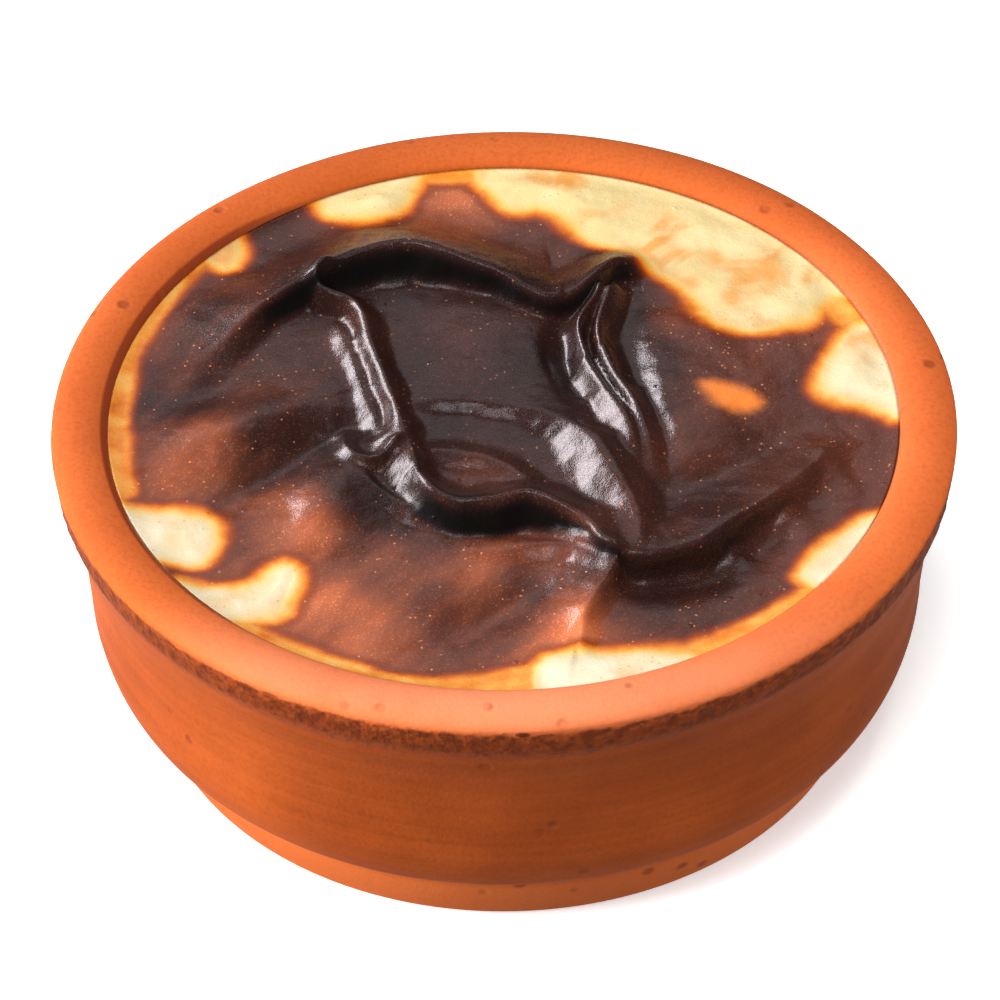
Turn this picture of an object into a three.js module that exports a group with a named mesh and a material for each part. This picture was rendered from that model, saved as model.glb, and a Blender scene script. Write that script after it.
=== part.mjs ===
// Rice pudding baked in its own round terracotta bowl.
// Units are millimetres and +Z is up. The origin is the centre of the bowl's base, on the surface
// that the bowl stands on, and -Y is the front.
import * as THREE from 'three';

// Driving dimensions
const RIM_RADIUS = 60;
const BOWL_HEIGHT = 46;
const BASE_RADIUS = 48;
const FOOT_HEIGHT = 8.4;
const FLOOR_HEIGHT = 6.5;
const MOUTH_RADIUS = 52.4;
const SEAT_GAP = 0.35;
const TURNS = 72;

// The pudding lies level with the mouth, a little below the top of the rim.
const FILL_HEIGHT = 44.0;
const EDGE_DROP = 0.5;
const EDGE_BAND = 4;
const SKIN_RINGS = 22;

// Outer wall: a near-vertical foot band, a flared shoulder, a straight body and a neck under the rim.
const BASE_BEVEL = 0.5;
const FOOT_TOP = new THREE.Vector2(50.6, FOOT_HEIGHT);
const BODY_LINE = [
  FOOT_TOP,
  new THREE.Vector2(53.9, 11.6),
  new THREE.Vector2(55.6, 16.4),
  new THREE.Vector2(56.1, 23.0),
  new THREE.Vector2(56.9, 31.0),
  new THREE.Vector2(58.4, 37.0),
  new THREE.Vector2(59.5, 40.4),
];
const BODY_STEPS = 11;

// Rim: a rounded roll, half an ellipse across its top.
const ROLL_BOTTOM = BOWL_HEIGHT - 1.6;
const ROLL_CENTRE = (RIM_RADIUS + MOUTH_RADIUS) / 2;
const ROLL_HALF_WIDTH = (RIM_RADIUS - MOUTH_RADIUS) / 2;
const ROLL_STEPS = 9;

// Inner wall: from the mouth down to the flat floor, seen by nobody once the bowl is full.
const WALL_LINE = [
  new THREE.Vector2(MOUTH_RADIUS, ROLL_BOTTOM),
  new THREE.Vector2(51.6, 40.5),
  new THREE.Vector2(51.0, 31.0),
  new THREE.Vector2(49.6, 18.0),
  new THREE.Vector2(46.0, 10.5),
  new THREE.Vector2(38.0, FLOOR_HEIGHT),
];
const WALL_STEPS = 9;

// Folds of the baked skin. Each route is a list of [x, y, height] along the top of one fold. The
// skin falls away over `left` millimetres on the left of the route's direction, and over `right` on
// its right.
const FOLDS = [
  {
    name: 'back crest',
    route: [[-40, 8, 0.4], [-34, 19, 1.4], [-25, 27, 2.8], [-12, 33, 4.2], [-1, 27, 3.0], [6, 23, 2.2],
      [13, 27, 2.6], [17, 31, 0.8]],
    left: 7,
    right: 2.6,
  },
  {
    name: 'left ridge and front fold',
    route: [[-22, 26, 2.6], [-19, 19, 3.0], [-16, 6, 3.0], [-13, -6, 3.2], [-9, -16, 3.4], [1, -15, 3.2],
      [8, -19, 2.8], [14, -27, 3.0], [21, -27, 2.6], [32, -19, 2.0], [43, -8, 0.8]],
    left: 3.4,
    right: 3.0,
  },
  {
    name: 'right pleat',
    route: [[12, 22, 2.6], [11, 15, 2.8], [14, 5, 2.8], [17, -3, 2.4], [18, -10, 1.0]],
    left: 3.6,
    right: 3.0,
  },
  {
    name: 'right swell',
    route: [[16, 24, 1.2], [18, 12, 1.8], [20, 0, 1.6], [22, -9, 0.8]],
    left: 2.4,
    right: 5,
  },
  {
    name: 'middle ridge',
    route: [[-9, 3, 0.6], [-2, 2, 1.2], [6, -1, 1.4], [11, -5, 0.8]],
    left: 4,
    right: 3,
  },
  {
    name: 'left pucker',
    route: [[-19, -6, 1.6], [-15, -11, 2.2], [-11, -17, 1.6]],
    left: 3,
    right: 3,
  },
  {
    name: 'front crease',
    route: [[14, -27, 2.4], [13, -34, 1.8], [10, -43, 0.6]],
    left: 3,
    right: 5,
  },
];

// Broad swells and hollows of the skin as [x, y, radius, height].
const SWELLS = [
  [-4, 18, 13, -1.0],
  [-5, -9, 6, -0.6],
  [4, -34, 15, 1.0],
  [-26, -6, 7, 0.9],
  [-33, -14, 5, -0.7],
  [24, -34, 9, -1.2],
  [33, 8, 12, 0.6],
];

const ROUTE_SAMPLES = 48;

// Points along a fold, each with its height in z.
function sampleRoute(route) {
  const points = route.map(([x, y, height]) => new THREE.Vector3(x, y, height));
  return new THREE.CatmullRomCurve3(points).getPoints(ROUTE_SAMPLES);
}

// Height that one fold adds at (x, y): the full height on its line, falling away to both sides.
function foldHeight(fold, x, y) {
  let nearest = Infinity;
  let side = 1;
  let height = 0;
  for (let i = 1; i < fold.points.length; i += 1) {
    const a = fold.points[i - 1];
    const b = fold.points[i];
    const dx = b.x - a.x;
    const dy = b.y - a.y;
    const along = ((x - a.x) * dx + (y - a.y) * dy) / (dx * dx + dy * dy);
    const t = Math.min(Math.max(along, 0), 1);
    const distance = Math.hypot(x - a.x - t * dx, y - a.y - t * dy);
    if (distance < nearest) {
      nearest = distance;
      side = dx * (y - a.y) - dy * (x - a.x);
      height = a.z + t * (b.z - a.z);
    }
  }
  const width = side > 0 ? fold.left : fold.right;
  return height * Math.exp(-((nearest / width) ** 1.5));
}

// Top of the pudding at (x, y): folds, swells, and an edge that dips where it meets the wall.
function skinHeight(folds, x, y, edgeRadius) {
  let height = 0;
  for (const fold of folds) {
    height = Math.max(height, foldHeight(fold, x, y));
  }
  for (const [swellX, swellY, radius, rise] of SWELLS) {
    const distance = Math.hypot(x - swellX, y - swellY);
    height += rise * Math.exp(-((distance / radius) ** 2));
  }
  const inset = Math.min((edgeRadius - Math.hypot(x, y)) / EDGE_BAND, 1);
  const fade = inset * inset * (3 - 2 * inset);
  return FILL_HEIGHT - EDGE_DROP * (1 - fade) + height * fade;
}

// Points of the inner wall, from the mouth down to the floor.
function wallPoints() {
  return new THREE.SplineCurve(WALL_LINE).getPoints(WALL_STEPS);
}

// The pudding's side outline: the inner wall moved inwards by the seat gap, below the skin's edge.
function sidePoints() {
  const wall = wallPoints();
  const side = [];
  for (let i = 1; i < wall.length; i += 1) {
    const before = wall[i - 1];
    const after = wall[Math.min(i + 1, wall.length - 1)];
    const slope = new THREE.Vector2().subVectors(after, before).normalize();
    side.push(new THREE.Vector2(wall[i].x + slope.y * SEAT_GAP, wall[i].y - slope.x * SEAT_GAP));
  }
  return side;
}

// The bowl, turned on a wheel: one profile from the middle of the base round to the floor inside.
function makeBowl() {
  const profile = [
    new THREE.Vector2(0, 0),
    new THREE.Vector2(BASE_RADIUS - BASE_BEVEL, 0),
    new THREE.Vector2(BASE_RADIUS, BASE_BEVEL),
    ...new THREE.SplineCurve(BODY_LINE).getPoints(BODY_STEPS),
  ];
  for (let i = 0; i <= ROLL_STEPS; i += 1) {
    const angle = (Math.PI * i) / ROLL_STEPS;
    const radius = ROLL_CENTRE + ROLL_HALF_WIDTH * Math.cos(angle);
    profile.push(new THREE.Vector2(radius, ROLL_BOTTOM + (BOWL_HEIGHT - ROLL_BOTTOM) * Math.sin(angle)));
  }
  profile.push(...wallPoints().slice(1));
  profile.push(new THREE.Vector2(0, FLOOR_HEIGHT));
  const geometry = new THREE.LatheGeometry(profile, TURNS);
  geometry.rotateX(Math.PI / 2);
  return geometry;
}

// One ring of TURNS points in the same facets as the bowl.
function ringPoints(radius, heightAt) {
  const points = [];
  for (let i = 0; i < TURNS; i += 1) {
    const angle = (2 * Math.PI * i) / TURNS;
    const x = radius * Math.sin(angle);
    const y = -radius * Math.cos(angle);
    points.push(new THREE.Vector3(x, y, heightAt(x, y)));
  }
  return points;
}

// The pudding: a folded skin on top, sides that follow the inner wall, and a flat underside.
function makePudding() {
  const folds = FOLDS.map((fold) => ({ ...fold, points: sampleRoute(fold.route) }));
  const side = sidePoints();
  const edgeRadius = side[0].x;
  const skin = (x, y) => skinHeight(folds, x, y, edgeRadius);
  const rings = [];
  for (let ring = 1; ring <= SKIN_RINGS; ring += 1) {
    rings.push(ringPoints((edgeRadius * ring) / SKIN_RINGS, skin));
  }
  for (const point of side) {
    rings.push(ringPoints(point.x, () => point.y));
  }
  const undersideHeight = side[side.length - 1].y;
  const points = [
    new THREE.Vector3(0, 0, skin(0, 0)),
    ...rings.flat(),
    new THREE.Vector3(0, 0, undersideHeight),
  ];
  const triangles = [];
  const last = points.length - 1;
  for (let i = 0; i < TURNS; i += 1) {
    const next = (i + 1) % TURNS;
    triangles.push(0, 1 + i, 1 + next);
    for (let ring = 1; ring < rings.length; ring += 1) {
      const inner = 1 + (ring - 1) * TURNS;
      const outer = inner + TURNS;
      triangles.push(inner + i, outer + i, outer + next);
      triangles.push(inner + i, outer + next, inner + next);
    }
    const lowest = last - TURNS;
    triangles.push(last, lowest + next, lowest + i);
  }
  const geometry = new THREE.BufferGeometry().setFromPoints(points);
  geometry.setIndex(triangles);
  geometry.computeVertexNormals();
  return geometry;
}

const terracotta = new THREE.MeshStandardMaterial({ color: 0xc8643c, roughness: 0.85, metalness: 0 });
const bakedMilk = new THREE.MeshStandardMaterial({ color: 0x4a2a20, roughness: 0.35, metalness: 0 });

const bowl = new THREE.Mesh(makeBowl(), terracotta);
bowl.name = 'bowl';
const pudding = new THREE.Mesh(makePudding(), bakedMilk);
pudding.name = 'pudding';

const dish = new THREE.Group();
dish.add(bowl, pudding);

export default dish;
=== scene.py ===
import math

import bmesh
import bpy
import numpy as np
from mathutils import Euler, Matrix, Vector, noise


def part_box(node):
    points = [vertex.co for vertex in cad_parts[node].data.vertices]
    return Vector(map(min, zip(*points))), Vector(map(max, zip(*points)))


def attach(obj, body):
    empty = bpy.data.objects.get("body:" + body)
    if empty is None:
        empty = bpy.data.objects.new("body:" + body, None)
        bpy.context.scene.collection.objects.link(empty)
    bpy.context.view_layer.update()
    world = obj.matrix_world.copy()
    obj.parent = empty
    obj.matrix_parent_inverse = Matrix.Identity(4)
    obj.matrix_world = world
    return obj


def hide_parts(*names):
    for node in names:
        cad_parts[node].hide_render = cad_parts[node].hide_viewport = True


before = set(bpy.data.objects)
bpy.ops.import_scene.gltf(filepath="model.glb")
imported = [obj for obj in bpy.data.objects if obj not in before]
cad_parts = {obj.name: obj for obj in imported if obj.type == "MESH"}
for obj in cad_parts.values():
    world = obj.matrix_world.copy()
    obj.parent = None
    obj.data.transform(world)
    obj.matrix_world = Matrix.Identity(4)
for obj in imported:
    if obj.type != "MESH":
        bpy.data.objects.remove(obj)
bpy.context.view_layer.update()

# ---- The bowl --------------------------------------------------------------------------------
# A small round baking bowl of red clay, thrown on a wheel and fired without glaze outside. The rim
# is a rolled lip, the clay is left rough under it, and a thin dark glaze lines the inside.

MM = 0.001
_, bowl_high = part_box("bowl")
RIM_RADIUS = bowl_high.x / MM
BOWL_HEIGHT = bowl_high.z / MM
BASE_RADIUS = 48.0
BASE_BEVEL = 0.5
FOOT_HEIGHT = 8.4
FOOT_TOP_RADIUS = 50.6
FOOT_BULGE = 0.35
FLOOR_HEIGHT = 6.5
MOUTH_RADIUS = 52.4
ROLL_BOTTOM = BOWL_HEIGHT - 1.6
NECK_RADIUS = 59.5
NECK_HEIGHT = 40.4
BODY_LINE = [(FOOT_TOP_RADIUS, FOOT_HEIGHT), (53.9, 11.6), (55.6, 16.4), (56.1, 23.0), (56.9, 31.0),
             (58.4, 37.0), (NECK_RADIUS, NECK_HEIGHT)]
WALL_LINE = [(MOUTH_RADIUS, ROLL_BOTTOM), (51.6, 40.5), (51.0, 31.0), (49.6, 18.0), (46.0, 10.5),
             (38.0, FLOOR_HEIGHT)]
BODY_STEP = 0.42
WALL_STEP = 2.2
FOOT_POINTS = 18
FACE_POINTS = 12
ROLL_POINTS = 34
BOWL_TURNS = 480


def smooth_line(points, step):
    """Points about `step` apart on the smooth curve through `points`."""
    line = np.array(points, float)
    ends = np.vstack([2 * line[0] - line[1], line, 2 * line[-1] - line[-2]])
    samples = []
    for i in range(len(line) - 1):
        p0, p1, p2, p3 = ends[i:i + 4]
        count = max(2, int(np.linalg.norm((p2 - p1)[:2]) / step))
        for t in np.arange(count) / count:
            slope_in = (p2 - p0) / 2
            slope_out = (p3 - p1) / 2
            cubic = (2 * (p1 - p2) + slope_in + slope_out) * t ** 3
            square = (3 * (p2 - p1) - 2 * slope_in - slope_out) * t ** 2
            samples.append(cubic + square + slope_in * t + p1)
    samples.append(line[-1])
    return np.array(samples)


def bowl_outline():
    """Radius and height round the bowl's section, from the middle of its base to its inside floor."""
    roll_centre = (RIM_RADIUS + MOUTH_RADIUS) / 2
    half_width = (RIM_RADIUS - MOUTH_RADIUS) / 2
    turn = np.linspace(0, math.pi, ROLL_POINTS)[1:-1]
    roll = np.stack([roll_centre + half_width * np.cos(turn),
                     ROLL_BOTTOM + (BOWL_HEIGHT - ROLL_BOTTOM) * np.sin(turn)], 1)
    base = [(r, 0.0) for r in (0, 12, 24, 36, 42, 46, BASE_RADIUS - BASE_BEVEL)]
    foot = [(BASE_RADIUS + (FOOT_TOP_RADIUS - BASE_RADIUS) * t + FOOT_BULGE * math.sin(math.pi * t),
             BASE_BEVEL + (FOOT_HEIGHT - BASE_BEVEL) * t) for t in np.linspace(0, 1, FOOT_POINTS)[:-1]]
    face = [(NECK_RADIUS + (RIM_RADIUS - NECK_RADIUS) * t, NECK_HEIGHT + (ROLL_BOTTOM - NECK_HEIGHT) * t)
            for t in np.linspace(0, 1, FACE_POINTS)[1:]]
    floor = [(r, FLOOR_HEIGHT) for r in (28, 18, 8, 0)]
    body = smooth_line(BODY_LINE, BODY_STEP)
    wall = smooth_line(WALL_LINE, WALL_STEP)
    return np.vstack([base, foot, body, face, roll, wall, floor])


class Value:
    """An output of a node. Arithmetic on it adds Math nodes to its tree."""

    def __init__(self, graph, socket):
        self.graph = graph
        self.socket = socket

    def math(self, operation, *given):
        """The result of a Math node."""
        return self.graph.node("ShaderNodeMath", {"operation": operation}, dict(enumerate(given)))

    def __add__(self, other):
        return self.math("ADD", self, other)

    def __sub__(self, other):
        return self.math("SUBTRACT", self, other)

    def __rsub__(self, other):
        return self.math("SUBTRACT", other, self)

    def __mul__(self, other):
        return self.math("MULTIPLY", self, other)

    def __truediv__(self, other):
        return self.math("DIVIDE", self, other)

    def __pow__(self, other):
        return self.math("POWER", self, other)


class Graph:
    """A node tree that is written as Python expressions."""

    def __init__(self, tree):
        self.tree = tree

    def node(self, kind, settings=None, sockets=None, output=0):
        """Adds a node: its settings first, then the values or links of its sockets."""
        made = self.tree.nodes.new(kind)
        for name, setting in (settings or {}).items():
            if name == "stops":
                self.set_stops(made.color_ramp, setting)
            else:
                setattr(made, name, setting)
        for key, given in (sockets or {}).items():
            if isinstance(given, Value):
                self.tree.links.new(given.socket, made.inputs[key])
            else:
                made.inputs[key].default_value = given
        return Value(self, made.outputs[output])

    @staticmethod
    def set_stops(ramp, stops):
        """Sets a colour ramp to stops given as (place, colour)."""
        while len(ramp.elements) < len(stops):
            ramp.elements.new(1.0)
        for element, (place, tint) in zip(ramp.elements, stops):
            element.position = place
            element.color = tint

    def band(self, value, low, high, start=0.0, end=1.0):
        """A smooth step of a value, from `start` at `low` to `end` at `high`."""
        return self.node("ShaderNodeMapRange", {"interpolation_type": "SMOOTHSTEP"},
                         {"Value": value, "From Min": low, "From Max": high, "To Min": start, "To Max": end})

    def noise(self, place, scale, detail=3.0, roughness=0.5, distortion=0.0):
        """Smooth noise with `scale` lumps to the metre."""
        return self.node("ShaderNodeTexNoise", None,
                         {"Vector": place, "Scale": scale, "Detail": detail, "Roughness": roughness,
                          "Distortion": distortion})

    def stretched(self, place, factors):
        """A place with each of its axes scaled."""
        return self.node("ShaderNodeVectorMath", {"operation": "MULTIPLY"}, {0: place, 1: factors})

    def cells(self, place, scale):
        """The distance to the nearest of many scattered points, `scale` of them to the metre."""
        return self.node("ShaderNodeTexVoronoi", {"feature": "F1"}, {"Vector": place, "Scale": scale})

    def ramp(self, value, stops):
        """The colour at a value along stops given as (place, colour)."""
        return self.node("ShaderNodeValToRGB", {"stops": stops}, {0: value})

    def bump(self, height, strength, depth):
        """The normal of a surface roughened by a height."""
        return self.node("ShaderNodeBump", None, {"Strength": strength, "Distance": depth, "Height": height})

    def mix(self, factor, first, second, blend="MIX"):
        """A mix of two colours."""
        settings = {"data_type": "RGBA", "blend_type": blend, "clamp_factor": True}
        return self.node("ShaderNodeMix", settings, {0: factor, 6: first, 7: second}, output=2)

    def axes(self, place):
        """The x, y and z of a place."""
        return [self.node("ShaderNodeSeparateXYZ", None, {0: place}, output=axis) for axis in range(3)]


def colour(red, green, blue):
    """A colour given by its screen values, 0 to 255, as linear light."""
    screen = np.array([red, green, blue]) / 255
    linear = np.where(screen <= 0.04045, screen / 12.92, ((screen + 0.055) / 1.055) ** 2.4)
    return (*[float(part) for part in linear], 1.0)


def new_material(name):
    """A material, its graph, its main shader and the object's own coordinates."""
    material = bpy.data.materials.new(name)
    material.use_nodes = True
    graph = Graph(material.node_tree)
    shader = material.node_tree.nodes["Principled BSDF"]
    place = graph.node("ShaderNodeTexCoord", output=3)
    return material, graph, shader, place


def feed(shader, name, value):
    """Links a value to one of the main shader's sockets."""
    value.graph.tree.links.new(value.socket, shader.inputs[name])


def clay_material():
    """Fired clay: mottled orange, pitted, rough with painted shade under the rim, dark glaze inside."""
    material, graph, shader, place = new_material("fired_clay")
    x, y, z = graph.axes(place)
    radius = (x * x + y * y) ** 0.5
    cloud = graph.noise(place, 38.0, 4.0, 0.55)
    grain = graph.noise(place, 1500.0, 3.0, 0.6)
    streak_place = graph.stretched(place, (9.0, 9.0, 300.0))
    streak = graph.noise(streak_place, 1.0, 3.0, 0.5)
    tone = graph.ramp(cloud * 0.8 + streak * 0.2, [(0.3, colour(192, 90, 40)), (0.7, colour(212, 106, 54))])
    tone = graph.mix(graph.band(grain, 0.30, 0.58, 0.3, 0.0), tone, colour(160, 68, 30))
    # The wall is darker than the rim, and the foot is painted lighter, as if lit from the table.
    body = graph.band(z, 0.0060, 0.0125, 0.1, 1.0) * graph.band(z, 0.0420, 0.0436, 1.0, 0.0)
    body = body * graph.band(radius - graph.band(z, 0.0080, 0.0140) * 0.005, 0.0470, 0.0480)
    wash = graph.noise(streak_place, 1.2, 3.0, 0.6) * 0.5 + cloud * 0.5
    wall_darkening = graph.mix(graph.band(wash, 0.3, 0.7), colour(172, 164, 138), colour(210, 200, 170))
    tone = graph.mix(body, tone, wall_darkening, "MULTIPLY")
    # Painted light: the foot is made lighter, standing in for light thrown back from the table.
    tone = graph.mix(graph.band(z, 0.0068, 0.0088, 0.5, 0.0), tone, colour(234, 122, 64))
    # Painted shade on the rim at the back left and on the rough clay below its roll; painted highlight in
    # front.
    # Painted shade: the back left of the rim is darkened.
    painted_back_shade = graph.band(x * 0.8 - y * 0.6, 0.020, -0.020) * (1.0 - body)
    tone = graph.mix(painted_back_shade, tone, colour(230, 226, 204), "MULTIPLY")
    uneven = z + (graph.noise(place, 320.0, 4.0, 0.65) - 0.5) * 0.0022 + (cloud - 0.5) * 0.0016
    neck = graph.band(uneven, 0.0382, 0.0410) * graph.band(uneven, 0.0437, 0.0446, 1.0, 0.0)
    neck = neck * graph.band(radius, 0.0562, 0.0580)
    speck = graph.noise(place, 620.0, 2.0, 0.7)
    # Painted shade: the rough neck under the roll is darkened, as if shadowed by the roll.
    tone = graph.mix(neck * graph.band(speck, 0.35, 0.65, 0.98, 0.55), tone, colour(90, 34, 8))
    # Painted highlight: the top of the rim in front is made lighter and pinker, as if catching light.
    painted_front_highlight = graph.band(y, -0.034, -0.057) * graph.band(z, 0.0436, 0.0462)
    painted_front_highlight = painted_front_highlight * graph.band(cloud, 0.3, 0.6, 0.5, 1.0)
    tone = graph.mix(painted_front_highlight * 0.45, tone, colour(236, 152, 116))
    # Small pits here and there, and one chip under the front of the rim.
    chance = graph.noise(place, 60.0, 2.0)
    pits = graph.band(graph.cells(place, 210.0), 0.10, 0.24, 1.0, 0.0) * graph.band(chance, 0.52, 0.62)
    tone = graph.mix(pits * 0.6, tone, colour(120, 50, 24))
    chip = ((x - 0.0020) ** 2.0 + (z * 2.0 - 0.0880) ** 2.0) ** 0.5 + (speck - 0.5) * 0.0012
    chip = graph.band(chip, 0.0006, 0.0013, 1.0, 0.0) * graph.band(y, -0.050, -0.055)
    tone = graph.mix(chip, tone, colour(84, 32, 12))
    # The glaze ends just inside the rim; on the left it is painted wider and darker, as shade on the inner
    # slope.
    left = graph.band(x, -0.024, -0.040)
    glaze = graph.band(radius - left * 0.0007, 0.0524, 0.0529, 1.0, 0.0) * graph.band(z, 0.0425, 0.0435)
    tone = graph.mix(glaze * (left * 0.6 + 0.4), tone, colour(126, 52, 26))
    feed(shader, "Base Color", tone)
    feed(shader, "Roughness", graph.band(glaze, 0.0, 1.0, 0.82, 0.3))
    relief = grain * 0.35 + cloud * 0.3 + neck * speck * 2.2 - pits * 0.9 - chip
    feed(shader, "Normal", graph.bump(relief, 0.55, 0.0004))
    shader.inputs["Specular IOR Level"].default_value = 0.25
    return material


def wheel_tree():
    """Geometry nodes that turn an outline round the Z axis as a potter's wheel does, with its marks."""
    tree = bpy.data.node_groups.new("potters_wheel", "GeometryNodeTree")
    inputs = [("Outline", "NodeSocketGeometry", None), ("Turns", "NodeSocketInt", 360),
              ("Outline Points", "NodeSocketInt", 100), ("Wobble", "NodeSocketFloat", 0.0003),
              ("Ring Depth", "NodeSocketFloat", 0.0001), ("Neck Roughness", "NodeSocketFloat", 0.0002),
              ("Clay", "NodeSocketMaterial", None)]
    for name, kind, default in inputs:
        socket = tree.interface.new_socket(name, in_out="INPUT", socket_type=kind)
        if default is not None:
            socket.default_value = default
    tree.interface.new_socket("Bowl", in_out="OUTPUT", socket_type="NodeSocketGeometry")
    graph = Graph(tree)
    group_in = tree.nodes.new("NodeGroupInput")
    given = {name: Value(graph, group_in.outputs[name]) for name, _, _ in inputs}
    # A flat sheet, whose rows are points of the outline and whose columns are turns of the wheel.
    sheet = graph.node("GeometryNodeMeshGrid", None,
                       {"Vertices X": given["Turns"] + 1, "Vertices Y": given["Outline Points"]})
    index = graph.node("GeometryNodeInputIndex")
    row = index.math("MODULO", index, given["Outline Points"])
    column = index.math("FLOOR", index / given["Outline Points"])
    angle = column / given["Turns"] * math.tau
    outline = graph.node("GeometryNodeSampleIndex", {"data_type": "FLOAT_VECTOR", "domain": "POINT"},
                         {"Geometry": given["Outline"], "Value": graph.node("GeometryNodeInputPosition"),
                          "Index": row})
    radius, _, height = graph.axes(outline)
    across = angle.math("COSINE", angle)
    along = angle.math("SINE", angle)
    place = graph.node("ShaderNodeCombineXYZ", None, {0: across * radius, 1: along * radius, 2: height})
    # A slow wobble that grows with height, throwing rings on the wall, and a rough neck.
    slow = graph.noise(place, 14.0, 1.0) - 0.5
    slower = graph.noise(place, 9.0, 0.0) - 0.5
    outside = graph.band(radius, 0.0480, 0.0520) * graph.band(height, 0.006, 0.012)
    ring_place = graph.stretched(place, (10.0, 10.0, 330.0))
    rings = (graph.noise(ring_place, 1.0, 2.0) - 0.5) * outside
    rings = rings * graph.band(height, 0.0385, 0.0405, 1.0, 0.0)
    neck = graph.band(height, 0.0398, 0.0405) * graph.band(height, 0.0436, 0.0442, 1.0, 0.0)
    neck = neck * graph.band(radius, 0.0570, 0.0585)
    rough = (graph.noise(place, 700.0, 2.0, 0.6) - 0.5) * neck
    lift = height / (BOWL_HEIGHT * MM)
    shift = slow * given["Wobble"] * lift + rings * given["Ring Depth"] + rough * given["Neck Roughness"]
    turned = radius + shift * graph.band(radius, 0.020, 0.045)
    raised = height + slower * given["Wobble"] * lift * lift
    shaped = graph.node("ShaderNodeCombineXYZ", None, {0: across * turned, 1: along * turned, 2: raised})
    bowl = graph.node("GeometryNodeSetPosition", None, {"Geometry": sheet, "Position": shaped})
    bowl = graph.node("GeometryNodeMergeByDistance", None, {"Geometry": bowl, "Distance": 1e-6})
    bowl = graph.node("GeometryNodeSetShadeSmooth", None, {"Geometry": bowl})
    bowl = graph.node("GeometryNodeRealizeInstances", None, {"Geometry": bowl})
    bowl = graph.node("GeometryNodeSetMaterial", None, {"Geometry": bowl, "Material": given["Clay"]})
    group_out = tree.nodes.new("NodeGroupOutput")
    tree.links.new(bowl.socket, group_out.inputs[0])
    return tree


def new_piece(name, mesh):
    """An object for a mesh, linked to the scene."""
    piece = bpy.data.objects.new(name, mesh)
    bpy.context.scene.collection.objects.link(piece)
    return piece


def set_modifier_inputs(modifier, values):
    """Sets a geometry nodes modifier's inputs by their sockets' identifiers."""
    for item in modifier.node_group.interface.items_tree:
        if item.item_type == "SOCKET" and item.in_out == "INPUT" and item.name in values:
            modifier[item.identifier] = values[item.name]


def face_outwards(mesh):
    """Turns every face of a closed mesh outwards."""
    work = bmesh.new()
    work.from_mesh(mesh)
    bmesh.ops.recalc_face_normals(work, faces=work.faces)
    work.to_mesh(mesh)
    work.free()


def make_bowl():
    """The bowl as one closed mesh, turned on the wheel from its outline."""
    outline = bowl_outline() * MM
    section = bpy.data.meshes.new("bowl_section")
    edges = [(i, i + 1) for i in range(len(outline) - 1)]
    section.from_pydata([(r, 0.0, z) for r, z in outline], edges, [])
    wheel = new_piece("bowl_on_the_wheel", section)
    modifier = wheel.modifiers.new("wheel", "NODES")
    modifier.node_group = wheel_tree()
    set_modifier_inputs(modifier, {"Turns": BOWL_TURNS, "Outline Points": len(outline), "Wobble": 0.0010,
                                   "Ring Depth": 0.0002, "Neck Roughness": 0.0006,
                                   "Clay": clay_material()})
    bpy.context.view_layer.update()
    evaluated = wheel.evaluated_get(bpy.context.evaluated_depsgraph_get())
    mesh = bpy.data.meshes.new_from_object(evaluated)
    bpy.data.objects.remove(wheel)
    face_outwards(mesh)
    return new_piece("clay_bowl", mesh)


clay_bowl = make_bowl()
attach(clay_bowl, "root")
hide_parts("bowl")

# ---- The pudding -----------------------------------------------------------------------------
# Milk and rice baked in the bowl until it sets. Its top has dried to a skin, which the heat browned
# almost black in the middle, lifted and let fall again in folds. Cream shows where it stayed pale.

_, pudding_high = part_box("pudding")
FOLD_ROOM = 3.9
FILL_HEIGHT = round(pudding_high.z / MM, 1) - FOLD_ROOM
EDGE_RADIUS = MOUTH_RADIUS
EDGE_RISE = 0.45
EDGE_BAND = 4.0
EDGE_PUFF = 0.5
PUFF_WIDTH = 4.0
WALL_GAP = 0.35
SIDE_TOP = 43.0
SIDE_STEP = 8.0
BOTTOM_RADIUS = 38.5
SKIN_CELLS = 288
SKIN_BLEND = 3.0
FOOT_SHARPNESS = 5.0
SHOULDER_SHARPNESS = 4.0
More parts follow.
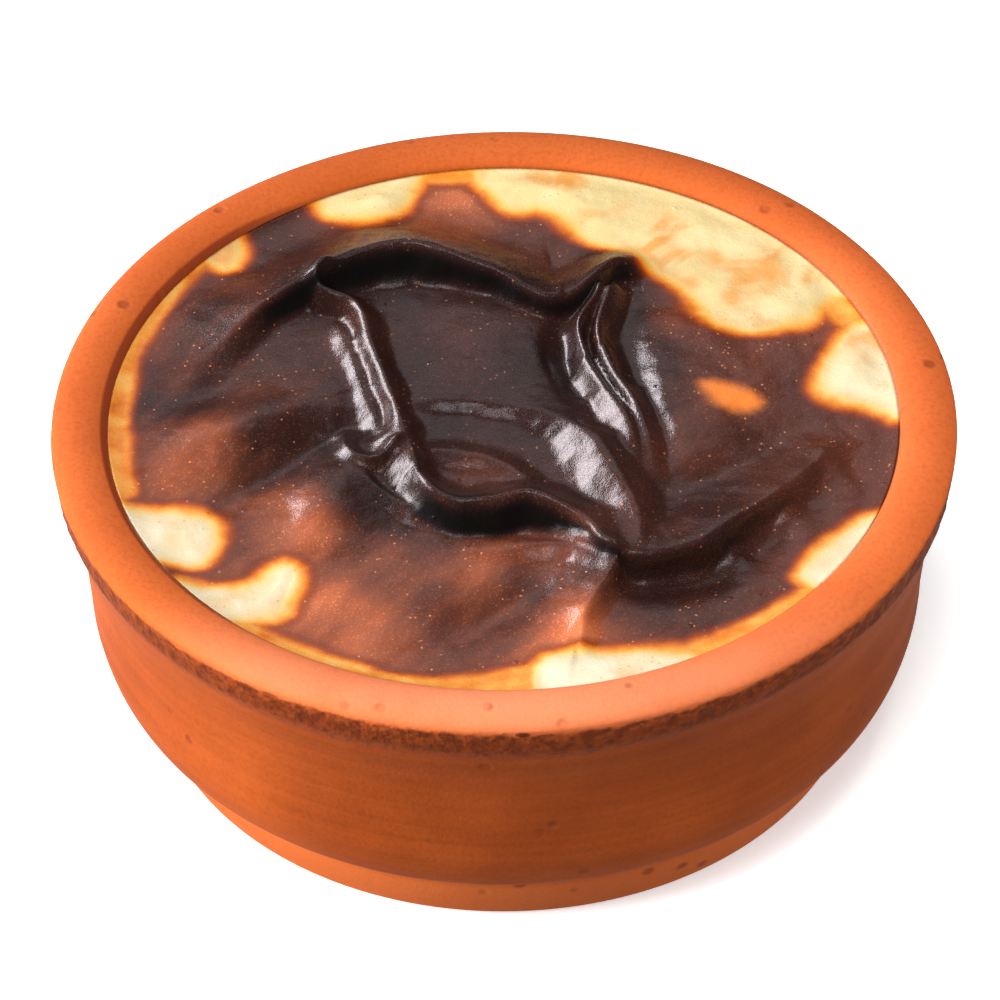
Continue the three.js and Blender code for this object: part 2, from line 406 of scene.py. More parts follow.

# Each fold: its route along the top as (x, y, height, width to the left, width to the right), how
# round its top is, how far it leans over to the right, how dark the painted shade on its steep right
# side is, and how round-shouldered its sides are.
FOLDS = {
    "back crest": dict(
        route=[(-43, 6, 0.1, 8, 3.5), (-40, 11.3, 0.8, 8, 3), (-37, 16.2, 1.7, 8, 2.6),
               (-33, 21.3, 2.7, 7, 2.2), (-29, 24.7, 3.4, 6, 2), (-25, 27.5, 4.0, 5.5, 2),
               (-20, 30.2, 4.5, 6, 2.2), (-16, 31.8, 4.8, 6, 2.8), (-12.6, 32.3, 4.8, 6, 3),
               (-9.4, 31.5, 4.6, 6, 2.4), (-5, 29.2, 4.3, 6, 1.6), (0, 26.9, 3.6, 6, 1.2),
               (3, 24.5, 3.1, 6, 1.2), (6, 22.6, 2.8, 6, 1.2), (9, 23.4, 3.0, 5, 1.3),
               (12, 26.3, 3.3, 4, 1.6), (15, 29.8, 3.1, 3, 2), (17.4, 31.6, 1.8, 3, 2.4),
               (19.5, 33, 0.3, 3, 3)],
        round=0.45, lean=0.5, char=1.0, shoulder=0.3),
    "left ridge": dict(
        route=[(-24.4, 29.2, 4.0, 2, 1.4), (-25.3, 27, 3.7, 2, 1.4), (-24.8, 24.9, 3.4, 2, 1.4),
               (-22.8, 23.4, 3.2, 2, 1.4), (-20.6, 22.2, 3.1, 2, 1.4), (-19.2, 20, 3.1, 1.9, 1.4),
               (-17.6, 13.1, 3.1, 1.8, 1.4), (-15.6, 5.1, 3.1, 1.8, 1.4), (-13.9, -1.4, 3.1, 1.8, 1.6),
               (-13.1, -4.6, 3.1, 1.8, 4.6), (-12, -9, 3.2, 1.8, 4.6), (-10.5, -14.1, 3.3, 1.8, 3.4),
               (-9, -17.3, 2.6, 1.8, 2.4)],
        round=0.25, lean=-0.1, char=0.0, shoulder=0.4),
    "left ridge skirt": dict(
        route=[(-22, 20.4, 0.4, 1.2, 1.5), (-21.2, 17, 1.1, 1.2, 1.6), (-19.8, 11.6, 1.2, 1.2, 1.6),
               (-18.4, 6, 1.2, 1.2, 1.6), (-17.0, 0.6, 1.3, 1.2, 1.7), (-16.2, -2.8, 1.0, 1.2, 1.7)],
        round=0.25, lean=0.0, char=0.0, shoulder=0.2),
    "front fold": dict(
        route=[(-11.6, -10.6, 0.4, 2, 1.6), (-10.9, -13, 2.2, 2.4, 1.8), (-10.3, -14.8, 3.2, 3, 2.0),
               (-9, -17.3, 3.8, 4, 2.4), (-6, -19.3, 4.2, 4, 2.6), (-2.4, -19.3, 4.3, 4, 2.6),
               (0.6, -18.5, 4.4, 4, 2.8), (3, -18, 4.4, 4, 3), (5.2, -18.7, 4.3, 4, 2.6),
               (8, -20.6, 4.1, 4, 2), (11, -23.3, 3.7, 5, 1.3), (13, -26.5, 3.5, 6, 1.1),
               (15, -28.2, 3.3, 7, 1.1), (18, -28.8, 3.1, 7, 1.1), (21, -28.2, 3.0, 7, 1.2),
               (25, -26.5, 2.9, 7, 1.3), (28, -23.7, 2.8, 7, 1.3), (32, -19.9, 2.6, 6, 1.3),
               (36, -16, 2.2, 6, 1.4), (40, -10.8, 1.6, 5, 1.5), (43, -7, 0.8, 4, 2),
               (46, -4, 0.1, 4, 2)],
        round=0.45, lean=0.5, char=1.0, shoulder=0.35),
    "right pleat": dict(
        route=[(13.4, 25, 3.2, 0.8, 1.2), (12.6, 22.5, 3.0, 0.8, 1.3), (10.4, 18.1, 3.0, 0.8, 1.1),
               (10.6, 14.1, 3.0, 0.8, 1.3), (12.2, 8.1, 3.0, 0.8, 2.4), (14.5, 2.3, 2.8, 0.9, 3),
               (16.5, -2.3, 2.5, 1, 3), (17.3, -6.6, 1.8, 1.2, 2.6), (17.8, -11, 0.5, 2, 2)],
        round=0.25, lean=0.0, char=0.0, shoulder=0.3),
    "pleat back": dict(
        route=[(14.6, 24.5, 3.0, 2, 0.8), (12.8, 17.6, 2.8, 2, 0.7), (13.0, 13, 2.8, 2, 0.7),
               (14.5, 7.6, 2.8, 2, 0.7), (16.6, 2.6, 2.6, 2, 0.7), (18.6, -4, 2.1, 2, 0.9),
               (19.3, -8.9, 1.2, 2, 1.2), (20, -13, 0.3, 2, 1.5)],
        round=0.25, lean=0.0, char=0.8, shoulder=0.3),
    "right swell": dict(
        route=[(20, 22, 0.4, 8, 3), (21, 17, 1.1, 8, 2.2), (21.6, 11, 1.4, 8, 2.2),
               (22.4, 5, 1.5, 8, 2.2), (23.6, -1, 1.4, 8, 2.2), (25, -7, 1.2, 8, 2.2),
               (26, -13, 0.2, 8, 3)],
        round=0.8, lean=0.0, char=0.0, shoulder=0.6),
    "middle ridge": dict(
        route=[(-11, 4, 0.2, 12, 1.2), (-8, 3.7, 0.7, 12, 1.2), (-3, 3, 0.9, 12, 1.3),
               (2, 1.8, 1.1, 10, 1.5), (6, -0.4, 1.6, 6, 1.8), (9, -2.8, 2.3, 3, 2.3),
               (11.8, -6.2, 2.9, 3, 3.8), (13.6, -10.4, 3.0, 3, 4.0), (15.4, -15.4, 3.0, 3, 3.8),
               (17.2, -21, 2.9, 3, 3.4), (17.5, -26, 2.2, 3, 2.6)],
        round=0.4, lean=0.0, char=0.0, shoulder=0.5),
    "dish edge": dict(
        route=[(-11, -6, 0.5, 2, 2.6), (-6, -6.6, 0.8, 2, 2.4), (-1, -8.8, 0.9, 2, 2.4),
               (3, -12.4, 1.0, 2, 2.4)],
        round=0.3, lean=0.0, char=0.0, shoulder=0.3),
    "pucker lip": dict(
        route=[(-20.8, -2.8, 1.2, 1.0, 1.5), (-20.4, -6.2, 2.0, 1.0, 1.6), (-18.6, -8.8, 2.4, 1.0, 1.6),
               (-16.4, -9.0, 2.8, 1.0, 1.6), (-14.4, -6.6, 3.4, 1.0, 1.5)],
        round=0.4, lean=0.2, char=0.0, shoulder=0.2),
    "pucker side": dict(
        route=[(-20.6, -3.8, 0.8, 1, 1.5), (-20.0, -8.4, 1.3, 1, 1.7), (-17.8, -12.4, 1.3, 1, 1.8),
               (-14.8, -15.8, 1.3, 1, 1.8), (-11.6, -18.6, 1.2, 1, 1.6), (-8, -21.6, 0.7, 1.6, 1.6)],
        round=0.3, lean=0.1, char=0.4, shoulder=0.3),
    "foot roll": dict(
        route=[(-8, -21.6, 0.5, 1.6, 2.4), (-3, -23.6, 0.8, 1.6, 2.4), (3, -24.2, 1.0, 1.6, 2.4),
               (7, -25, 1.2, 1.4, 2.0), (10, -27, 1.5, 1.2, 2.0), (12.6, -29.4, 1.6, 1.2, 2.0)],
        round=0.5, lean=0.0, char=0.0, shoulder=0.3),
    "upper strand": dict(
        route=[(-2, -21.9, 0.2, 1.2, 1.2), (3, -21.6, 0.9, 1.2, 1.2), (7.4, -23, 1.8, 1.2, 1.2),
               (10.4, -25.2, 2.5, 1.2, 1.2), (13.6, -28, 2.7, 1.2, 1.2)],
        round=0.25, lean=0.0, char=0.0, shoulder=0.3),
    "front crease": dict(
        route=[(14.6, -27.6, 3.1, 1.3, 2.8), (14.2, -30.2, 2.8, 1.3, 3.0), (12.2, -34.6, 2.4, 1.2, 3.2),
               (10.2, -38.6, 2.0, 1.2, 3.0), (9.6, -42.2, 1.3, 1.3, 2.6), (9.4, -46, 0.2, 1.6, 2.6)],
        round=0.2, lean=-0.2, char=0.0, shoulder=0.1),
    "crease ramp": dict(
        route=[(14.0, -28.4, 1.6, 1, 4), (13.2, -31, 1.6, 1, 6), (11.4, -35, 1.5, 1, 6.5),
               (9.6, -39, 1.2, 1, 6), (9.0, -43, 0.6, 1, 5)],
        round=0.8, lean=0.0, char=0.0, shoulder=0.4),
    "left wave": dict(
        route=[(-25, 4, 0.6, 3.5, 5), (-31, 1, 1.5, 3.5, 5), (-37, -3, 1.6, 3.5, 5),
               (-44, -7, 0.6, 3.5, 5)],
        round=1.4, lean=0.0, char=0.0, shoulder=0.4),
    "knee wave": dict(
        route=[(-19.6, -6, 1.0, 6, 3), (-21.6, -12, 1.9, 6, 3.6), (-24, -19, 1.7, 6, 3.6),
               (-26, -26, 0.5, 6, 3.6)],
        round=1.2, lean=0.0, char=0.0, shoulder=0.4),
    "first tuck": dict(
        route=[(28.6, -23.6, 1.3, 2, 2), (30.2, -28, 0.8, 2, 2), (31, -32, 0.2, 2, 2)],
        round=0.6, lean=0.0, char=0.5, shoulder=0.3),
    "second tuck": dict(
        route=[(35.6, -16, 1.3, 2, 2), (37.6, -20, 0.8, 2, 2), (39, -25, 0.2, 2, 2)],
        round=0.6, lean=0.0, char=0.5, shoulder=0.3),
    "third tuck": dict(
        route=[(41.6, -8, 1.1, 2, 2), (43.4, -12, 0.7, 2, 2), (44.6, -17, 0.2, 2, 2)],
        round=0.6, lean=0.0, char=0.4, shoulder=0.3),
}

# Valleys between them: routes as (x, y, depth, width to the left, width to the right).
VALLEYS = {
    "under the left wave": [(-21, -1, 0.5, 3, 3), (-26, -5, 1.1, 3, 3), (-31, -10, 1.2, 3, 3),
                            (-36, -15, 0.6, 3, 3)],
    "front panel": [(7, -28, 0.4, 4, 4), (3, -34, 1.0, 4, 4), (-4, -39, 1.0, 4, 4), (-9, -44, 0.3, 4, 4)],
    "under the tail": [(17, -32, 1.0, 3.5, 3.5), (24, -31.5, 1.4, 3.5, 3.5), (31, -27, 1.2, 3.5, 3.5),
                       (38, -19, 0.8, 3, 3), (43, -12, 0.3, 3, 3)],
    "beside the pleat": [(8, 21, 0.6, 4.5, 2), (8.2, 13, 1.8, 4.5, 2), (10.2, 5.5, 1.2, 4.5, 2)],
    "under the front wall": [(-10, -21, 0.3, 2.5, 2.5), (-4, -22.6, 0.8, 2.5, 2.5),
                             (3, -22.4, 0.9, 2.5, 2.5), (8, -23, 0.4, 2.5, 2.5)],
}

# Broad swells and hollows: middle, radius and rise.
SWELLS = [
    (-4, 17, 12, 0.7), (20, -10, 9, 0.6), (32, 8, 11, 0.7), (-30, 13, 9, 0.6),
    (-12, -31, 9, 0.5), (-41, 8, 7, -0.5), (-40, -2, 6, 0.3), (-16, 42, 8, 0.4), (8, 41, 9, 0.4),
]

# How browned the skin is at places on it, with painted shade in hollows and at the feet of folds and
# painted light on lit slopes in front: (x, y, 0 for almost black to 1 for orange-brown).
BROWNING_AND_PAINTED_SHADING = [
    (-35, 10, 0.2), (-30, 5, 0.28), (-38, -5, 0.6), (-42, -9, 0.62), (-31, -9, 0.24), (-22, -3, 0.06),
    (-27, -4, 0.14), (-21, -9, 0.1), (-18, -14, 0.12), (-14, -20, 0.12), (-27, -16, 0.62), (-25, -22, 0.8),
    (-16, -26, 0.42), (-15, -31, 0.5), (-5, -29, 0.6), (-5, -24.5, 0.34), (5, -26, 0.4), (4, -33, 0.22),
    (0, -38, 0.28), (-5, -42, 0.34), (-15, -42, 0.66), (-22, -37, 0.78), (8, -36, 0.72), (8, -41, 0.95),
    (7, -44, 1.0), (14, -36, 0.36), (14, -31, 0.2), (20, -33, 0.14), (28, -30, 0.08), (22, -30, 0.08),
    (25, -40, 0.36), (35, -23, 0.24), (39, -27, 0.4), (46, -12, 0.4), (30, -7, 0.3), (24, -15, 0.22),
    (31, 11, 0.44), (38, 10, 0.3), (25, 19, 0.5), (17, 30, 0.14), (15, 20, 0.1), (5, 34, 0.32),
    (-6, 41, 0.58), (-7, 47, 0.8), (-20, 38, 0.34), (-31, 34, 0.2), (-40, 19, 0.24), (-46, 5, 0.24),
    (-5, 18, 0.2), (-4, 2, 0.16), (10, -8, 0.16), (7, 12, -0.02), (-12, 27, 0.1), (0, 25, 0.1),
    (40, 20, 0.4), (47, 20, 0.7), (-14, 12, 0.14), (17, 8, 0.16), (-46, 18, 0.4), (-38, 29, 0.4),
    (36, -30, 0.4), (31, 3, 0.44), (0, -6, 0.26), (-23.5, 27, -0.05), (-5, -17.5, 0.02), (15.5, 8, 0.02),
    (-3, -11, 0.36), (-8, 0, 0.06), (2, -2, 0.04), (-16, -14, 0.0), (6, -17, 0.1),
]

# Pale patches along the edge, as outlines.
PALE_PATCHES = {
    "left front": [(-54, -13), (-48, -16.5), (-42, -17), (-38.5, -19), (-37.5, -23), (-39, -27), (-43, -27),
                   (-50, -26)],
    "front left": [(-42, -30.5), (-37, -32), (-33, -31.5), (-30, -28), (-27.5, -28), (-26, -30.5),
                   (-27.5, -35), (-30, -38), (-38, -38), (-44, -34)],
    "front": [(3.6, -56), (3.4, -47.5), (7, -45.3), (14, -45.2), (23.5, -45), (25, -49), (20, -56)],
    "right front": [(37.5, -31), (39.5, -27.5), (43, -24), (47.5, -20), (54, -21), (48, -32), (41, -35)],
    "right": [(47, 19), (44.5, 14), (42.2, 9), (41.8, 5), (44.5, 2.6), (48.5, 1.6), (53, -1), (58, 4),
              (54, 17)],
    "back right": [(-3.5, 56), (-3.4, 49.5), (-1, 45.5), (1.5, 43.6), (5, 43.8), (8, 42), (10.5, 38),
                   (14, 35.4), (18, 34), (21, 30), (24, 26), (26.5, 21.2), (29, 17.8), (34, 17), (38, 18),
                   (42, 20), (44.6, 24.5), (50, 24), (44, 40), (24, 54)],
    "back left": [(-27, 52), (-25, 44.4), (-22, 42), (-18, 41.6), (-14.5, 43), (-12, 46.5), (-11, 55)],
    "far left": [(-42, 35), (-37.6, 32), (-35.6, 34.6), (-36, 38.5), (-40, 42)],
}
# Thin amber strips along the edge: routes as (x, y, half width).
AMBER_STRIPS = [
    [(-38, 38, 0.8), (-44.5, 29, 1.0), (-49.6, 16, 0.9), (-51.6, 6, 1.4), (-51.8, -4, 1.7),
     (-50.2, -13, 1.2)],
    [(-39, -34, 1.0), (-33, -40.4, 0.9), (-25, -45.8, 0.9), (-14, -50.4, 0.9), (-6, -51.6, 1.5),
     (1, -50.6, 2.2), (4, -50, 2.2)],
    [(23, -47, 1.8), (28, -43.4, 1.5), (33, -40, 0.9), (39, -35, 0.8)],
    [(-12, 51.5, 1.2), (-4, 52, 1.4)],
    [(44, 24, 0.9), (46.4, 20, 1.0)],
]
AMBER_CAP = -0.3
FAR_OUTSIDE = -50.0
# One amber spot on the right, as an outline.
AMBER_SPOT = [(26.6, 5.2), (29.5, 5.4), (33.2, 3.2), (33.6, 1.4), (30.6, 0.6), (27.6, 2.2)]


def nearest_on_line(x, y, line):
    """Signed distance to a line (left is positive), and the line's other columns there."""
    best = np.full(x.shape, np.inf)
    side = np.ones(x.shape)
    others = np.zeros((*x.shape, line.shape[1] - 2))
    for start, end in zip(line[:-1], line[1:]):
        dx, dy = end[:2] - start[:2]
        t = np.clip(((x - start[0]) * dx + (y - start[1]) * dy) / (dx * dx + dy * dy), 0, 1)
        away = np.hypot(x - start[0] - t * dx, y - start[1] - t * dy)
        closer = away < best
        best[closer] = away[closer]
        side[closer] = np.where(dx * (y - start[1]) - dy * (x - start[0]) < 0, -1, 1)[closer]
        others[closer] = start[2:] + t[closer, None] * (end[2:] - start[2:])
    return best * side, others


def inside_outline(x, y, outline):
    """Signed distance to a closed outline in millimetres, positive inside it."""
    corners = smooth_line([(*p, 0.0) for p in outline + outline[:1]], 1.5)
    away = nearest_on_line(x, y, corners)[0]
    crossings = np.zeros(x.shape, int)
    for (ax, ay, _), (bx, by, _) in zip(corners[:-1], corners[1:]):
        spans = (ay > y) != (by > y)
        crossings += spans & (x < ax + (y - ay) * (bx - ax) / (by - ay + 1e-12))
    return np.where(crossings % 2 == 1, np.abs(away), -np.abs(away))


def disc_points(disc_radius, cells):
    """Points of a square grid, cells by cells, mapped onto a disc."""
    steps = np.linspace(-1, 1, cells + 1)
    a, b = np.meshgrid(steps, steps, indexing="ij")
    wide = np.abs(a) >= np.abs(b)
    with np.errstate(divide="ignore", invalid="ignore"):
        angle = np.where(wide, math.pi / 4 * b / a, math.pi / 2 - math.pi / 4 * a / b)
    radius = np.where(wide, a, b) * disc_radius
    angle = np.nan_to_num(angle)
    return (radius * np.cos(angle)).ravel(), (radius * np.sin(angle)).ravel()


def skin_noise(x, y, scale, seed):
    """Smooth noise at every point, between about -1 and 1; `scale` is the size of its lumps."""
    return np.array([noise.noise(Vector((px / scale, py / scale, seed))) for px, py in zip(x, y)])


def flank(away, width, roundness, shoulder):
    """The fall from a fold's top, 1, down its side to a soft foot, 0, straight or round-shouldered."""
    fall = (np.hypot(away, roundness) - roundness) / width
    straight = np.log1p(np.exp(FOOT_SHARPNESS * (1 - fall))) / np.log1p(np.exp(FOOT_SHARPNESS))
    steps = np.minimum(SHOULDER_SHARPNESS * (fall - 1), 60)
    rounded = (1 + math.exp(-SHOULDER_SHARPNESS)) / (1 + np.exp(steps))
    return straight + shoulder * (rounded - straight)


def smooth_step(value, low, high):
    """A smooth step from 0 at `low` to 1 at `high`."""
    t = np.clip((value - low) / (high - low), 0, 1)
    return t * t * (3 - 2 * t)


def fold_skin(x, y):
    """The folded skin over the flat points (x, y): moved x and y, height in millimetres, and painted shade.
    """
    risen = np.zeros(x.shape)
    sunk = np.zeros(x.shape)
    shift_x = np.zeros(x.shape)
    shift_y = np.zeros(x.shape)
    char = np.zeros(x.shape)
    uneven = skin_noise(x, y, 4.0, 9.1) * 0.5 + skin_noise(x, y, 1.5, 6.3) * 0.2
    for fold in FOLDS.values():
        line = smooth_line(fold["route"], 0.8)
        ahead = np.gradient(line[:, :2], axis=0)
        ahead /= np.linalg.norm(ahead, axis=1)[:, None]
        away, others = nearest_on_line(x, y, np.column_stack([line, ahead]))
        height, left, right, ahead_x, ahead_y = others.T
        width = np.where(away > 0, left, right)
        fall = flank(away + uneven * smooth_step(np.abs(away), 0.2, 1.5), width, fold["round"],
                     fold["shoulder"])
        risen += (height * fall) ** SKIN_BLEND
        lean = fold["lean"] * fall ** 2 * np.clip(height / 2, 0, 1)
        shift_x += lean * ahead_y
        shift_y -= lean * ahead_x
        # Painted shade lies on the steep right side of a high fold, where the fold runs along X.
        wall = smooth_step(-away, 0.0, 0.4) * smooth_step(1 - fall, 0.03, 0.24)
        wall *= smooth_step(fall, 0.03, 0.22) * smooth_step(height, 1.2, 3.2)
        wall *= smooth_step(ahead_x, 0.2, 0.7)
        char = np.maximum(char, fold["char"] * wall)
    for route in VALLEYS.values():
        away, others = nearest_on_line(x, y, smooth_line(route, 1.2))
        depth, left, right = others.T
        sunk += (depth * np.exp(-(away / np.where(away > 0, left, right)) ** 2)) ** 2
    height = risen ** (1 / SKIN_BLEND) - np.sqrt(sunk)
    for middle_x, middle_y, radius, rise in SWELLS:
        height += rise * np.exp(-((x - middle_x) ** 2 + (y - middle_y) ** 2) / radius ** 2)
    return x + shift_x, y + shift_y, soften(height), soften(char)


def soften(values):
    """The values on the square grid, each blended with its neighbours."""
    size = SKIN_CELLS + 1
    grid = values.reshape(size, size)
    for _ in range(2):
        padded = np.pad(grid, [(1, 1), (0, 0)], "edge")
        grid = ((padded[:-2] + 2 * grid + padded[2:]) / 4).T
    return grid.ravel()


def browning_and_painted_shading(x, y):
    """Browning with painted shade and light everywhere, blended between the places in the table above."""
    total = np.zeros(x.shape)
    weights = np.zeros(x.shape)
    for place_x, place_y, brown in BROWNING_AND_PAINTED_SHADING:
        weight = 1 / ((x - place_x) ** 2 + (y - place_y) ** 2 + 9) ** 1.6
        total += weight * brown
        weights += weight
    return total / weights


def amber_depth(x, y):
    """How far inside an amber strip each point lies, never far enough to turn it pale."""
    depth = np.full(x.shape, FAR_OUTSIDE)
    for strip in AMBER_STRIPS:
        away, others = nearest_on_line(x, y, smooth_line(strip, 1.2))
        depth = np.maximum(depth, others[:, 0] - np.abs(away))
    return np.minimum(depth, AMBER_CAP)


def pale_depth(x, y):
    """How far inside a pale patch each point lies, in millimetres; negative on the browned skin."""
    depth = np.full(x.shape, FAR_OUTSIDE)
    for outline in PALE_PATCHES.values():
        depth = np.maximum(depth, inside_outline(x, y, outline))
    return depth


def shape_skin(x, y, pale):
    """The skin's points in millimetres over the flat points (x, y), and how much painted shade each has."""
    inset = np.clip((EDGE_RADIUS - np.hypot(x, y)) / EDGE_BAND, 0, 1)
    fade = smooth_step(inset, 0, 1)
    moved_x, moved_y, folds, char = fold_skin(x, y)
    wrinkle = skin_noise(x, y, 5.0, 1.7) * 0.16 + skin_noise(x, y, 1.8, 4.2) * 0.05
    puff = EDGE_PUFF * np.clip(pale / PUFF_WIDTH, 0, 1)
    height = FILL_HEIGHT + EDGE_RISE * (1 - inset) ** 3 + (folds + wrinkle) * fade + puff * np.sqrt(fade)
    return np.stack([x + (moved_x - x) * fade, y + (moved_y - y) * fade, height], 1), char


def close_below(top):
    """The points and faces of the skin and of what closes it: rings down the bowl's wall and a fan."""
    side = SKIN_CELLS + 1
    grid = np.arange(side * side).reshape(side, side)
    corners = np.stack([grid[:-1, :-1], grid[1:, :-1], grid[1:, 1:], grid[:-1, 1:]], -1).reshape(-1, 4)
    edge = np.concatenate([grid[:-1, 0], grid[-1, :-1], grid[:0:-1, -1], grid[0, :0:-1]])
    direction = top[edge, :2] / np.hypot(*top[edge, :2].T)[:, None]
    bottom = FLOOR_HEIGHT + 2 * WALL_GAP
    wall = [(radius - WALL_GAP, level) for radius, level in smooth_line(WALL_LINE, SIDE_STEP)
            if FLOOR_HEIGHT + 2.5 < level < SIDE_TOP]
    wall.append((BOTTOM_RADIUS, bottom))
    points = [top]
    faces = corners.tolist()
    upper = edge
    count = len(top)
    for radius, level in wall:
        lower = np.arange(count, count + len(edge))
        points.append(np.column_stack([direction * radius, np.full(len(edge), level)]))
        faces += np.stack([upper, lower, np.roll(lower, -1), np.roll(upper, -1)], 1).tolist()
        count += len(edge)
        upper = lower
    points.append(np.array([[0, 0, bottom]]))
    faces += np.stack([upper, np.full(len(upper), count), np.roll(upper, -1)], 1).tolist()
    return np.vstack(points), faces


def store(mesh, name, values, below):
    """Stores a value for each point of the skin, and the value `below` for every point under it."""
    rest = np.full(len(mesh.vertices) - len(values), below)
    layer = mesh.attributes.new(name, "FLOAT", "POINT")
    layer.data.foreach_set("value", np.concatenate([values, rest]).astype(np.float32))


def make_pudding():
    """The pudding as one closed mesh: its folded skin, its side along the bowl and its flat bottom."""
    x, y = disc_points(EDGE_RADIUS, SKIN_CELLS)
    pale = pale_depth(x, y)
    top, char = shape_skin(x, y, pale)
    points, faces = close_below(top)
    mesh = bpy.data.meshes.new("baked_pudding")
    mesh.from_pydata((points * MM).tolist(), [], faces)
    mesh.update()
    store(mesh, "pale", np.maximum(pale, amber_depth(x, y)), 3.0)
    store(mesh, "spot", inside_outline(x, y, AMBER_SPOT), -5.0)
    store(mesh, "char", char, 0.0)
    store(mesh, "brown", browning_and_painted_shading(x, y), 0.3)
    face_outwards(mesh)
    mesh.shade_smooth()
    return new_piece("baked_pudding", mesh)


def skin_material():
    """The baked skin: dark brown with a soft sheen, amber where it thins, cream where it is pale."""
    material, graph, shader, place = new_material("baked_skin")
    given = {name: graph.node("ShaderNodeAttribute", {"attribute_name": name}, output=2)
             for name in ("pale", "spot", "char", "brown")}
    x, y, _ = graph.axes(place)
    # Browning with painted shade and light, clouds, brushed streaks in front and fine specks.
    ragged = (graph.noise(place, 150.0, 4.0, 0.55) - 0.5) * 3.6
    cloud = graph.noise(place, 95.0, 3.0, 0.5)
    speck = graph.noise(place, 3600.0, 1.0, 0.6)
    brushed_place = graph.node("ShaderNodeCombineXYZ", None,
                               {0: x * 0.2 + y * 0.25, 1: x * 0.8 - y * 0.6})
    brushed = (graph.noise(brushed_place, 170.0, 3.0, 0.55) - 0.5) * graph.band(x + y, 0.0, -0.030)
    brown = given["brown"] + (cloud - 0.5) * 0.35 + brushed * 0.6 + graph.band(speck, 0.58, 0.7) * 0.2
    skin = graph.ramp(brown, [(0.00, colour(26, 13, 11)), (0.22, colour(48, 25, 20)),
                              (0.42, colour(86, 44, 31)), (0.65, colour(132, 68, 42)),
                              (0.85, colour(172, 90, 54)), (1.00, colour(206, 116, 72))])
    # The ragged edge of the pale patches, from burnt brown through amber to cream.
    softness = graph.noise(place, 70.0, 2.0) * 1.4 + 0.2
    depth = (given["pale"] + ragged * graph.band(given["pale"], -3.0, 1.0, 0.4, 1.0)) * softness
    edge = graph.ramp(graph.band(depth, -2.7, 2.1),
                      [(0.04, colour(92, 36, 18)), (0.20, colour(146, 62, 16)), (0.38, colour(204, 112, 28)),
                       (0.54, colour(218, 152, 66)), (0.72, colour(214, 180, 116)),
                       (0.95, colour(208, 192, 156))])
    # Amber blotches and milky clouds on the cream, which is yellower at the back.
    blotch = graph.noise(place, 125.0, 1.5, 0.5)
    mottle = graph.band(blotch, 0.48, 0.66) * graph.band(y, -0.030, 0.020, 0.3, 0.75)
    edge = graph.mix(mottle * graph.band(depth, 0.2, 1.6), edge, colour(212, 138, 50))
    milky = graph.band(graph.noise(place, 75.0, 3.0, 0.6, 1.5), 0.42, 0.62) * graph.band(depth, 1.0, 2.6)
    edge = graph.mix(milky * 0.6, edge, colour(224, 212, 186))
    yellow = graph.mix(graph.band(y, -0.010, 0.030), colour(255, 255, 255), colour(255, 246, 212))
    edge = graph.mix(1.0, edge, yellow, "MULTIPLY")
    skin = graph.mix(graph.band(depth, -3.0, -1.0), skin, edge)
    # Small orange dots, the amber spot and the painted shade on the steep sides of the folds.
    dots = graph.band(graph.cells(place, 900.0), 0.08, 0.18, 1.0, 0.0)
    dots = dots * graph.band(graph.noise(place, 260.0, 1.0), 0.46, 0.6)
    skin = graph.mix(dots * graph.band(given["brown"], 0.05, 0.4, 0.25, 0.85), skin, colour(210, 132, 88))
    spot = graph.band(given["spot"] + ragged * 0.8, -1.8, 1.2)
    skin = graph.mix(spot, skin, colour(232, 126, 52))
    skin = graph.mix(given["char"], skin, colour(9, 6, 6))
    feed(shader, "Base Color", skin)
    fine = graph.noise(place, 5200.0, 1.0, 0.6)
    feed(shader, "Roughness", graph.band(fine, 0.3, 0.7, 0.18, 0.32) + given["char"] * 0.1)
    # A fine grain, small lumps and a few bubbles.
    lumps = graph.noise(place, 420.0, 3.0)
    bubbles = graph.band(graph.cells(place, 170.0), 0.03, 0.075, 1.0, 0.0)
    relief = lumps * 0.7 + fine * 0.28 + graph.noise(place, 1500.0, 2.0) * 0.35 + bubbles * 0.9
    feed(shader, "Normal", graph.bump(relief, 0.35, 0.0003))
    shader.inputs["Specular IOR Level"].default_value = 0.6
    return material


baked_pudding = make_pudding()
baked_pudding.data.materials.append(skin_material())
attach(baked_pudding, "root")
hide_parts("pudding")

# ---- The table, light and camera ---------------------------------------------------------------
# A table top that glows a little, so that it stays white, and soft lights round the bowl. Some only
# light it and some only reflect in it, most of all one from behind on the left. A long lens looks
# down from the front.

TABLE_REACH = 3.0
TABLE_GLOW = 0.5


def make_table():
    """The table top, which throws no light back onto the bowl."""
    mesh = bpy.data.meshes.new("table_top")
    corners = [(-TABLE_REACH, -TABLE_REACH, 0), (TABLE_REACH, -TABLE_REACH, 0),
               (TABLE_REACH, TABLE_REACH, 0), (-TABLE_REACH, TABLE_REACH, 0)]
    mesh.from_pydata(corners, [], [(0, 1, 2, 3)])
    table = new_piece("table_top", mesh)
    material, graph, shader, place = new_material("white_table")
    tone = graph.mix(graph.noise(place, 6.0), colour(244, 244, 244), colour(250, 250, 250))
    feed(shader, "Base Color", tone)
    shader.inputs["Roughness"].default_value = 0.9
    shader.inputs["Emission Color"].default_value = (1.0, 1.0, 1.0, 1.0)
    shader.inputs["Emission Strength"].default_value = TABLE_GLOW
    mesh.materials.append(material)
    table.visible_diffuse = False
    return table


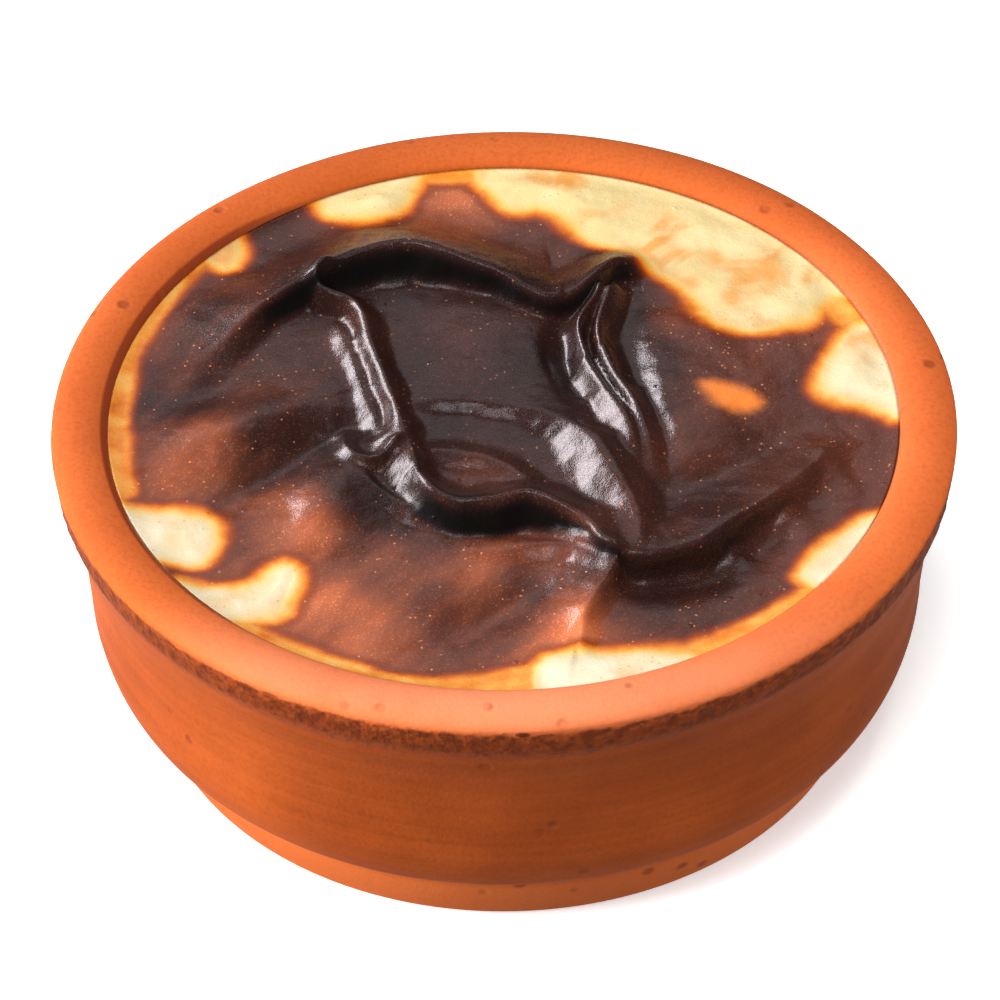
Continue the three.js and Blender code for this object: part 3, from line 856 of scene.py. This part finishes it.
def add_light(name, place, aim, width, height, power, glossy=True, diffuse=True, tint=(1, 1, 1)):
    """A soft light at `place` that shines at `aim`, with or without its reflection and plain light."""
    light = bpy.data.lights.new(name, "AREA")
    light.shape = "RECTANGLE"
    light.size = width
    light.size_y = height
    light.energy = power
    light.color = tint
    holder = bpy.data.objects.new(name, light)
    holder.location = place
    holder.rotation_euler = (Vector(aim) - Vector(place)).to_track_quat("-Z", "Y").to_euler()
    holder.visible_glossy = glossy
    holder.visible_diffuse = diffuse
    bpy.context.scene.collection.objects.link(holder)


CAMERA_DISTANCE = 0.9
CAMERA_ELEVATION = math.radians(41.93)
CAMERA_ROLL = math.radians(-0.82)
AIM = Vector((-0.0006, 0.0, 0.03006))
FOCAL_LENGTH = 242.2


def add_camera():
    """The camera, aimed at AIM from in front and above."""
    camera = bpy.data.cameras.new("camera")
    camera.lens = FOCAL_LENGTH
    camera.sensor_width = 36
    camera.clip_start = 0.01
    holder = bpy.data.objects.new("camera", camera)
    back = Vector((0, -math.cos(CAMERA_ELEVATION), math.sin(CAMERA_ELEVATION)))
    holder.location = AIM + back * CAMERA_DISTANCE
    turn = Euler((math.pi / 2 - CAMERA_ELEVATION, 0, 0)).to_matrix()
    roll = Euler((0, 0, CAMERA_ROLL)).to_matrix()
    holder.rotation_euler = (turn @ roll).to_euler()
    bpy.context.scene.collection.objects.link(holder)
    bpy.context.scene.camera = holder


def set_world():
    """A faint, even light from all round."""
    world = bpy.data.worlds.new("studio")
    world.use_nodes = True
    background = world.node_tree.nodes["Background"]
    background.inputs["Color"].default_value = (0.9, 0.95, 1.0, 1.0)
    background.inputs["Strength"].default_value = 0.04
    bpy.context.scene.world = world


make_table()
PINKISH = (1.0, 0.92, 0.97)
BOWL_MIDDLE = (0, 0, 0.03)
add_light("top", (-0.04, -0.34, 1.0), BOWL_MIDDLE, 0.5, 0.5, 12.8, glossy=False)
add_light("top sheen", (-0.15, 0.0, 1.0), BOWL_MIDDLE, 0.3, 0.3, 1.2, diffuse=False, tint=PINKISH)
add_light("back sheen", (-0.1, 0.85, 0.8), BOWL_MIDDLE, 0.7, 0.5, 0.85, diffuse=False, tint=PINKISH)
add_light("key sheen", (-0.64, 0.46, 0.42), BOWL_MIDDLE, 0.54, 0.32, 7.6, diffuse=False, tint=PINKISH)
add_light("key", (-0.62, 0.5, 0.42), BOWL_MIDDLE, 0.36, 0.32, 2.6, glossy=False)
add_light("left", (-0.94, -0.14, 0.22), BOWL_MIDDLE, 0.5, 0.4, 20.0, glossy=False)
add_light("right", (0.9, -0.3, 0.16), BOWL_MIDDLE, 0.5, 0.3, 3.2, glossy=False)
add_light("front", (-0.3, -1.0, 0.14), (0, 0, 0.02), 0.5, 0.25, 2.9, glossy=False)
set_world()
add_camera()
bpy.context.scene.view_settings.view_transform = "Standard"
